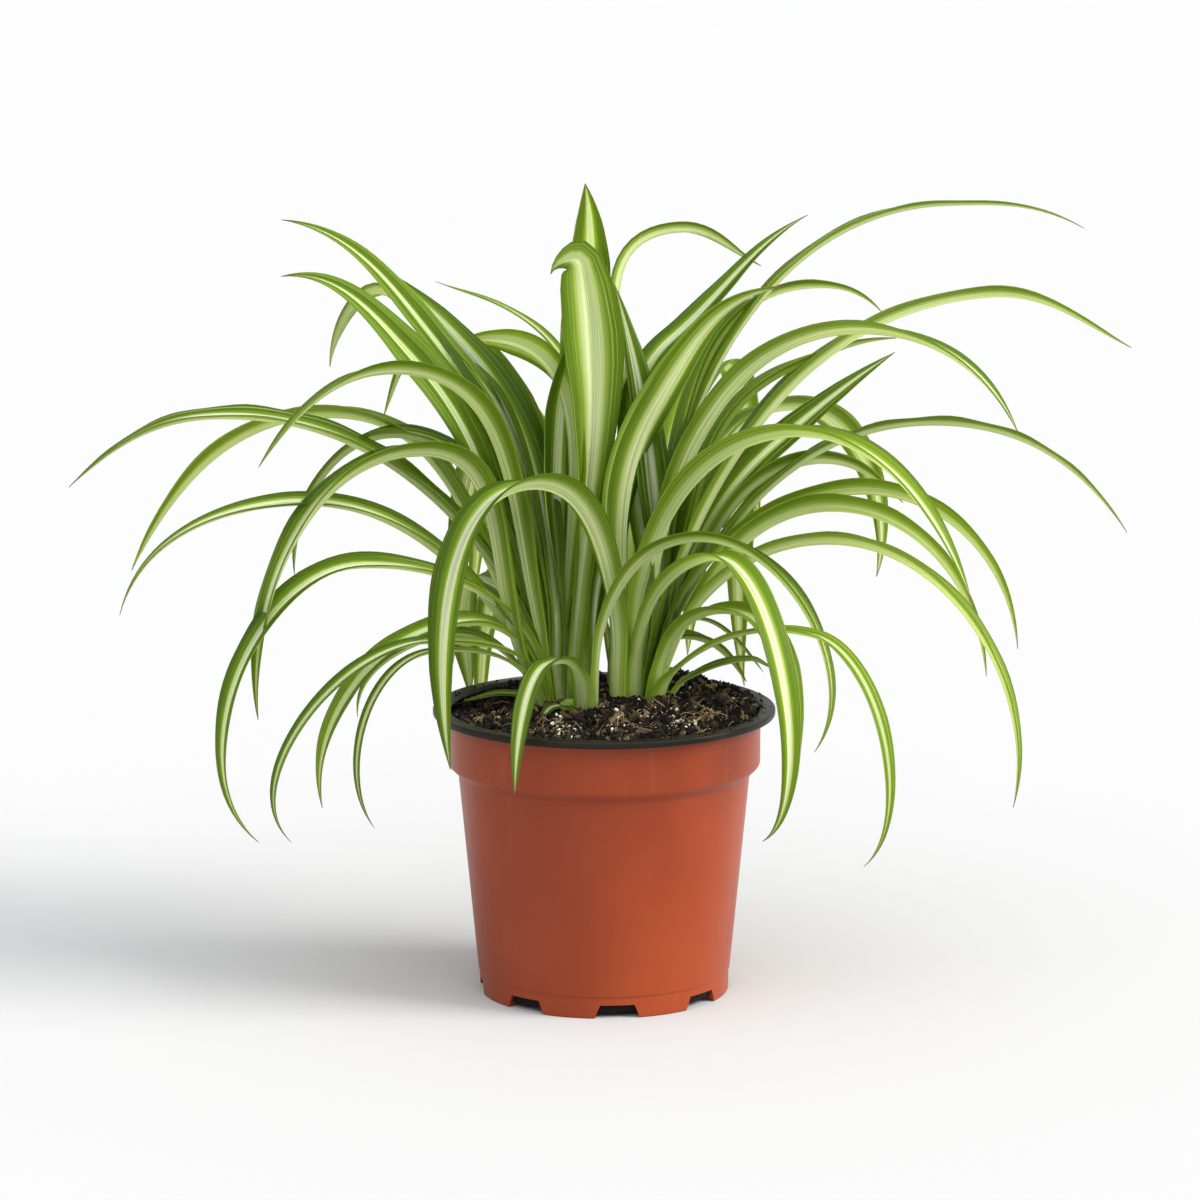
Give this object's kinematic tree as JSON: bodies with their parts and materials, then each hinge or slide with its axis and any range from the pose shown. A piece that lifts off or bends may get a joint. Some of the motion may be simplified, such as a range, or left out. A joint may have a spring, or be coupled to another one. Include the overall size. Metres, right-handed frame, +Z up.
{
  "type": "potted spider plant",
  "caption": "Young spider plant with arching cream-striped leaves, growing from paired crowns in a tapered plastic nursery pot filled with potting mix.",
  "frame": {"origin": "centre of the pot's underside, on the pot's axis, in the plane the pot stands on", "axes": "+Z up along the pot's axis; +X to the right and -Y towards the viewer as the plant is pictured"},
  "size_m": [0.4348, 0.241, 0.3302],
  "materials": {
    "pot_plastic": "satin",
    "potting_mix": "matte",
    "leaf": "satin"
  },
  "bodies": {
    "root": {"pot": "pot_plastic", "potting_mix": "potting_mix", "crown_left": "leaf", "crown_right": "leaf"}
  },
  "joints": []
}
